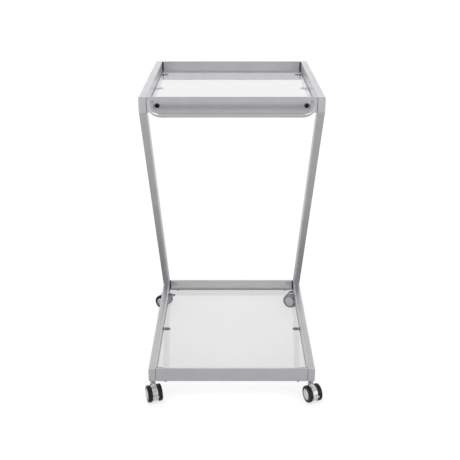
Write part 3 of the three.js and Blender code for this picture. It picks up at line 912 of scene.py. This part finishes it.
def pedal_field(x, y, z):
    """A curved flap with a lip for the toe near its upper edge, on a barrel about its pin."""
    out, angle = polar(y, z)
    inner, outer, half, edge = (PEDAL[key] for key in ("inner", "outer", "half", "edge"))
    middle = math.radians((PEDAL["from"] + PEDAL["to"]) / 2)
    reach = math.radians((PEDAL["to"] - PEDAL["from"]) / 2)
    across = np.abs(out - (outer + inner) / 2) - (outer - inner) / 2 + edge
    along = (np.abs(angle - middle) - reach) * outer + edge
    wide = np.abs(x) - half + edge
    edges = np.stack([across, along, wide])
    outside = np.sqrt((np.maximum(edges, 0) ** 2).sum(0))
    flap = outside + np.minimum(edges.max(0), 0) - edge

    lip_at = about_axle(TOE_LIP["orbit"], TOE_LIP["angle"])
    from_lip = np.hypot(y - lip_at.y, z - lip_at.z)
    lip = round_cylinder(from_lip, x, TOE_LIP["radius"], TOE_LIP["half"], TOE_LIP["round"])
    off_web = np.abs(out * np.sin(angle - math.radians(TOE_LIP["angle"])))
    web = np.maximum(off_web - LIP_WEB["half"], np.abs(x) - half + LIP_WEB["short"])
    web = np.maximum(web, np.maximum(inner + LIP_WEB["sink"] - out, out - TOE_LIP["orbit"]))
    web = np.maximum(web, np.abs(angle) - math.pi / 2)
    lip = joined(lip, web, fillet=0.8)

    pin = about_axle(PEDAL_PIN["orbit"], PEDAL_PIN["angle"])
    from_pin = np.hypot(y - pin.y, z - pin.z)
    barrel = round_cylinder(from_pin, x, PEDAL_PIN["barrel"], PEDAL_PIN["half"], rounding=0.3)
    whole = joined(joined(flap, lip, fillet=1.4), barrel, fillet=0.8)
    return carved(whole, from_pin - PEDAL_PIN["bore"], fillet=0.1)


def raised_bar(skin, place, degrees, half_length):
    """A low bar with round ends across the hood, at an angle about the axle."""
    radius = HOOD["radius"]
    end = half_length - BAR_HALF_WIDTH
    rings = []
    for lift, inset in BAR_RINGS:
        round_end = BAR_HALF_WIDTH - inset
        ring = []
        for k in range(BAR_SIDES):
            angle = 2 * math.pi * k / BAR_SIDES
            x = round_end * math.cos(angle) + math.copysign(end, math.cos(angle))
            shift = math.degrees(round_end * math.sin(angle) / radius)
            ring.append(place @ about_axle(radius + lift, degrees + shift, x))
        rings.append(ring)
    skin.loft(rings)


def hood(corner, place, brake):
    """The silver hood between a caster's wheels, with its four low bars."""
    low = (-HOOD["half"], AXLE_Y - HOOD["radius"], HOOD["bottom"])
    high = (HOOD["half"], HOOD["boss"] + HOOD_MARGIN, HOOD["top"])
    points, faces = skinned(hood_field(brake), low, high, HOOD_STEP)
    skin = Skin().add([place @ Vector(p) for p in points], faces)
    for degrees, half_length in HOOD_BARS:
        raised_bar(skin, place, degrees, half_length)
    skin.piece(
        f"{corner}_hood_shell", [SHELL], f"{corner}_caster", "silver_shell", f"{corner}_hood",
        sharp=60, flat_first=False,
    )


def pedal(corner, place):
    """The brake pedal of a front caster."""
    node = f"{corner}_brake_pedal"
    front = AXLE_Y - TOE_LIP["orbit"] - PEDAL_GRID["front"]
    low = (-TOE_LIP["half"], front, AXLE_Z - PEDAL_GRID["below"])
    high = (TOE_LIP["half"], AXLE_Y - PEDAL_GRID["back"], AXLE_Z + PEDAL_GRID["above"])
    points, faces = skinned(pedal_field, low, high, PEDAL_STEP)
    skin = Skin().add([place @ Vector(p) for p in points], faces)
    skin.piece(
        f"{node}_flap", [SHELL], node, "silver_shell", node, sharp=60, flat_first=False,
    )


def tyre_profile():
    """The tyre's closed outline: rounded shoulders, two grooves and the seat on the core."""
    radius, shoulder, steps = WHEEL["radius"], WHEEL["shoulder"], WHEEL["shoulder_steps"]
    arc = [math.pi / 2 * k / steps for k in range(steps + 1)]
    inner_edge = [
        (radius - shoulder * (1 - math.sin(a)), shoulder * (1 - math.cos(a))) for a in arc
    ]
    outer_edge = [(r, WHEEL["width"] - t) for r, t in reversed(inner_edge)]
    floor_radius = radius - GROOVE["depth"]
    grooves = []
    for t in GROOVES:
        grooves += [
            (radius, t - GROOVE["half"]), (floor_radius, t - GROOVE["floor_half"]),
            (floor_radius, t + GROOVE["floor_half"]), (radius, t + GROOVE["half"]),
        ]
    return [TYRE_INNER_LIP, *inner_edge, *grooves, *outer_edge, *TYRE_SEAT]


def wheel(corner, side, place):
    """A grooved tyre on a ribbed core that is open inwards, and the wheel's cap."""
    sign = SIDES[side]
    hub = place @ Matrix.Translation((sign * WHEEL["inner"], AXLE_Y, AXLE_Z))
    hub = hub @ Matrix.Rotation(sign * math.pi / 2, 4, "Y")
    skin = Skin().turned(tyre_profile(), hub, TYRE_SIDES, closed=True)
    skin.turned(CORE_PROFILE, hub, HUB_SIDES, material=1, closed=True)
    section = rounded_rectangle(SPOKE["half_width"], SPOKE["half_depth"], SPOKE["corner"], steps=2)
    for k in range(SPOKE["count"]):
        spoke = hub @ Matrix.Rotation(2 * math.pi * (k + 0.5) / SPOKE["count"], 4, "Z")
        rings = []
        for r in (SPOKE["from"], SPOKE["to"]):
            rings.append([spoke @ Vector((r, u, t + SPOKE["middle"])) for u, t in section])
        skin.loft(rings, material=1)
    name = f"{corner}_{side}_wheel"
    skin.piece(f"{name}_tyre", [TYRE, WHEEL_CORE], name, "tyre", name, sharp=32)
    cap(corner, side, hub, name)


def dome(r):
    """How far out from the wheel's inner face a cap's dome is, at a radius."""
    fall = math.sqrt(max(0.0, 1 - (r / CAP_DOME["radius"]) ** 2))
    return CAP_DOME["base"] + CAP_DOME["rise"] * fall


def cap(corner, side, hub, body):
    """A domed silver cap with a rim, a groove, a raised centre and six low ribs."""
    profile = [*CAP_RIM, *((r, dome(r)) for r in CAP_DOME_RADII)]
    profile += [(r, dome(at) + lift) for r, at, lift in CAP_BUTTON]
    skin = Skin().turned(profile, hub, HUB_SIDES)
    for k in range(CAP_RIB["count"]):
        spoke = hub @ Matrix.Rotation(2 * math.pi * k / CAP_RIB["count"], 4, "Z")
        rings = []
        for lift, inset in CAP_RIB_RINGS:
            sizes = (CAP_RIB[key] - inset for key in ("half_length", "half_width", "corner"))
            ring = []
            for u, v in rounded_rectangle(*sizes):
                r = CAP_RIB["orbit"] + u
                ring.append(spoke @ Vector((r, v, dome(r) + lift)))
            rings.append(ring)
        skin.loft(rings)
    node = f"{corner}_{side}_cap"
    skin.piece(f"{node}_dome", [CAP_SILVER], body, "silver_cap", node, sharp=50)


def stem(corner, place):
    """Plated stem: a spindle in the hood, a grooved collar and the shank inside the rail."""
    skin = Skin().turned(STEM_PROFILE, place)
    skin.piece(f"{corner}_stem_turned", [ZINC], "frame", "zinc_steel", f"{corner}_stem")


def casters():
    """The four casters; the front two have a brake pedal."""
    for corner in CORNERS:
        place = caster_place(corner)
        brake = f"{corner}_brake_pedal" in frame["nodes"]
        stem(corner, place)
        hood(corner, place, brake)
        finish_node(f"{corner}_axle", ZINC)
        for side in SIDES:
            wheel(corner, side, place)
        if brake:
            pedal(corner, place)
            finish_node(f"{corner}_brake_pin", ZINC)


# ---------------------------------------------------------------- stage, light and camera
FLOOR_HALF = 30.0
FLOOR_GREY = 0.48
FLOOR_REACH = 3.0  # the floor's ramps run over this many metres
# Painted light and shade that the floor throws back at the trolley and shows in its gloss, from
# FLOOR_REACH in front of it to the same behind, as (place, tone); the dark band under the trolley
# is painted shade for the trolley's shadow on the floor
PAINTED_BOUNCE = [
    (0.0, 0.52), (0.3, 0.5), (0.42, 0.44), (0.47, 0.36), (0.5, 0.32), (0.54, 0.1), (0.565, 0.08),
    (0.6, 0.42), (0.7, 0.58), (1.0, 0.6),
]
PAINTED_BOUNCE_STRENGTH = 1.35
# Beside the trolley, from ASIDE[0] to ASIDE[1] out, that fades to one plain tone
ASIDE = (0.5, 1.5)
PAINTED_BOUNCE_ASIDE = 0.5
# Painted light: a glow that the floor adds to its lit colour, which makes it white and is raised
# right under the base where it lightens the trolley's shadow, from the floor seen through the base
# at GLOW_Y out to FLOOR_REACH away, as (place, tone)
GLOW_Y = 0.17
PAINTED_GLOW = [(0.0, 0.77), (0.06, 0.75), (0.12, 0.66), (0.2, 0.65), (0.3, 0.67), (0.5, 0.7), (1.0, 0.78)]
# The studio's brightness, from the camera's side to behind the trolley, and from level to overhead
WORLD_DEPTH = [(0.0, 0.52), (0.18, 0.55), (0.42, 0.75), (0.7, 0.95), (1.0, 1.0)]
WORLD_ABOVE = [(0.0, 1.0), (0.35, 1.0), (0.52, 0.8), (0.75, 0.55), (1.0, 0.6)]
WORLD_STRENGTH = 1.05
# (name, place, size in metres, power in watts, shows in gloss)
LAMPS = [
    ("key", (0, -2.0, 3.2), (3.0, 2.0), 30, False),
    ("left_side", (-2.1, -1.8, 1.3), (1.8, 2.2), 13, True),
    ("right_side", (2.1, -1.8, 1.3), (1.8, 2.2), 10, True),
]
LAMP_AIM = (0, 0, 0.5)
CAMERA_LENS = 59.1
CAMERA_AWAY = 1.909
CAMERA_HEIGHT = 1.308
CAMERA_DOWN = 22.6
CAMERA_X = -5 * MM


def floor():
    """A floor that looks white through a painted glow, and that lights and mirrors darker on the
    trolley, with painted shade under the trolley for its shadow.
    """
    mesh = bpy.data.meshes.new("floor")
    edge = FLOOR_HALF
    corners = [(-edge, -edge, 0), (edge, -edge, 0), (edge, edge, 0), (-edge, edge, 0)]
    mesh.from_pydata(corners, [], [(0, 1, 2, 3)])
    plane = placed("floor", mesh)
    material, tree, surface = shader("studio_floor")
    tree.nodes.remove(surface)
    mesh.materials.append(material)
    place = linked(tree, "ShaderNodeTexCoord").outputs["Object"]
    split = linked(tree, "ShaderNodeSeparateXYZ", {0: place})

    # Seen straight or through the glass: its lit colour and a painted glow, raised under the base
    # where it lightens the trolley's shadow
    away = linked(tree, "ShaderNodeVectorMath", {0: place, 1: (0, GLOW_Y, 0)}, operation="DISTANCE")
    distance = share_between(tree, away.outputs["Value"], 0.0, FLOOR_REACH)
    lit = linked(tree, "ShaderNodeBsdfDiffuse", {"Color": grey(FLOOR_GREY)})
    painted_glow = linked(tree, "ShaderNodeEmission", {"Color": ramp(tree, distance, PAINTED_GLOW)})
    seen = linked(tree, "ShaderNodeAddShader", {0: lit.outputs[0], 1: painted_glow.outputs[0]})

    # Mirrored, or lighting the trolley: painted bands of tone, darkest under the trolley as painted
    # shade for its shadow
    depth = share_between(tree, split.outputs["Y"], -FLOOR_REACH, FLOOR_REACH)
    across = linked(tree, "ShaderNodeMath", {0: split.outputs["X"]}, operation="ABSOLUTE")
    aside = share_between(tree, across.outputs[0], *ASIDE)
    tone = colour_mix(tree, aside, ramp(tree, depth, PAINTED_BOUNCE), grey(PAINTED_BOUNCE_ASIDE))
    painted_bounce = linked(tree, "ShaderNodeEmission", {"Color": tone, "Strength": PAINTED_BOUNCE_STRENGTH})

    straight = either_ray(tree, "Is Camera Ray", "Is Transmission Ray")
    end_with_mix(tree, straight, painted_bounce.outputs[0], seen.outputs[0])


def studio_world():
    """Bright behind the trolley, dimmer in front and overhead, and white where seen itself."""
    world = bpy.data.worlds.new("studio")
    bpy.context.scene.world = world
    world.use_nodes = True
    tree = world.node_tree
    background = tree.nodes["Background"]
    direction = linked(tree, "ShaderNodeTexCoord").outputs["Generated"]
    split = linked(tree, "ShaderNodeSeparateXYZ", {0: direction})
    towards = ramp(tree, share_between(tree, split.outputs["Y"], -1.0, 1.0), WORLD_DEPTH)
    above = ramp(tree, split.outputs["Z"], WORLD_ABOVE)
    lit = colour_mix(tree, 1.0, towards, above, blend="MULTIPLY")
    ray = linked(tree, "ShaderNodeLightPath")
    shown = colour_mix(tree, ray.outputs["Is Camera Ray"], lit, grey(1))
    tree.links.new(shown, background.inputs["Color"])
    background.inputs["Strength"].default_value = WORLD_STRENGTH


def softbox(name, spot, size, power, shiny):
    """A rectangular lamp that isn't seen itself; if it is shiny, it shows in gloss."""
    lamp = bpy.data.lights.new(name, "AREA")
    lamp.shape = "RECTANGLE"
    lamp.size, lamp.size_y = size
    lamp.energy = power
    thing = placed(name, lamp)
    thing.location = spot
    thing.rotation_euler = (Vector(LAMP_AIM) - Vector(spot)).to_track_quat("-Z", "Y").to_euler()
    thing.visible_camera = False
    thing.visible_glossy = shiny


def camera():
    """The photo's view: a little above the top tray, looking down at it."""
    lens = bpy.data.cameras.new("camera")
    lens.lens = CAMERA_LENS
    thing = placed("camera", lens)
    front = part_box("top_front_rail")[0].y
    thing.location = (CAMERA_X, front - CAMERA_AWAY, CAMERA_HEIGHT)
    thing.rotation_euler = (math.radians(90 - CAMERA_DOWN), 0, 0)
    bpy.context.scene.camera = thing


side_rails()
for side_name in SIDES:
    upright(side_name)
cross_rails()
glass_shelves()
for tray_name in TRAYS:
    for side_name in SIDES:
        for station in STATIONS:
            lug(f"{tray_name}_{side_name}_{station}_lug", side_name)
handle()
fasteners()
casters()

floor()
studio_world()
for lamp_facts in LAMPS:
    softbox(*lamp_facts)
camera()
bpy.context.scene.view_settings.view_transform = "Standard"
